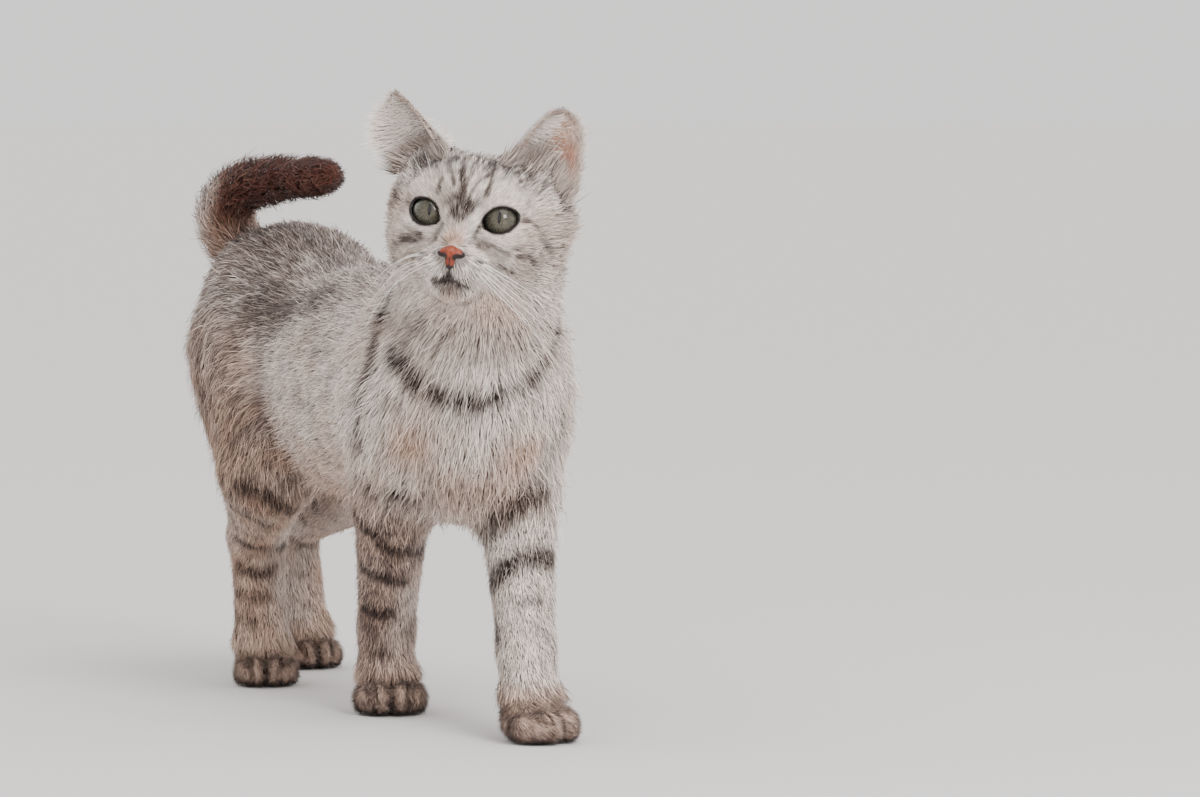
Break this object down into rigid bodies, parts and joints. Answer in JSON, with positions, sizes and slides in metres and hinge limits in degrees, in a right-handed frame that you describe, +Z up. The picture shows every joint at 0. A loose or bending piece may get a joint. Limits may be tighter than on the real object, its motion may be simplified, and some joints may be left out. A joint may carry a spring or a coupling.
{
  "type": "cat",
  "caption": "Life-size still model of a short-haired silver tabby cat walking, with its head turned to one side and its tail carried forward over its back.",
  "frame": {"origin": "the middle of the cat's box in plan, at floor level under the paws", "axes": "+Z up; the cat walks towards -Y, and +X is the cat's own left; its head is turned to its right"},
  "size_m": [0.1388, 0.452, 0.3537],
  "materials": {
    "coat": "short plush fur, pale silver with warm cream and grey-brown tabby markings",
    "paw_coat": "very short tan-brown fur with dark lines between the toes",
    "tail_coat": "dark brown fur with a paler fringe near the root",
    "nose_leather": "fine-grained, slightly moist, brick red with a black edge",
    "eyes": "clear wet dome over a grey-green iris with a slit pupil"
  },
  "bodies": {
    "root": {"head": "coat", "ear_left": "coat", "ear_right": "coat", "neck": "coat", "chest": "coat", "belly": "coat", "hips": "coat", "upper_arm_right": "coat", "upper_arm_left": "coat", "forearm_right": "coat", "forearm_left": "coat", "thigh_right": "coat", "thigh_left": "coat", "shank_right": "coat", "shank_left": "coat", "forepaw_right": "paw_coat", "forepaw_left": "paw_coat", "hindpaw_right": "paw_coat", "hindpaw_left": "paw_coat", "tail_1": "tail_coat", "tail_2": "tail_coat", "tail_3": "tail_coat", "tail_4": "tail_coat", "nose": "nose_leather", "eye_left": "eyes", "eye_right": "eyes"}
  },
  "joints": []
}
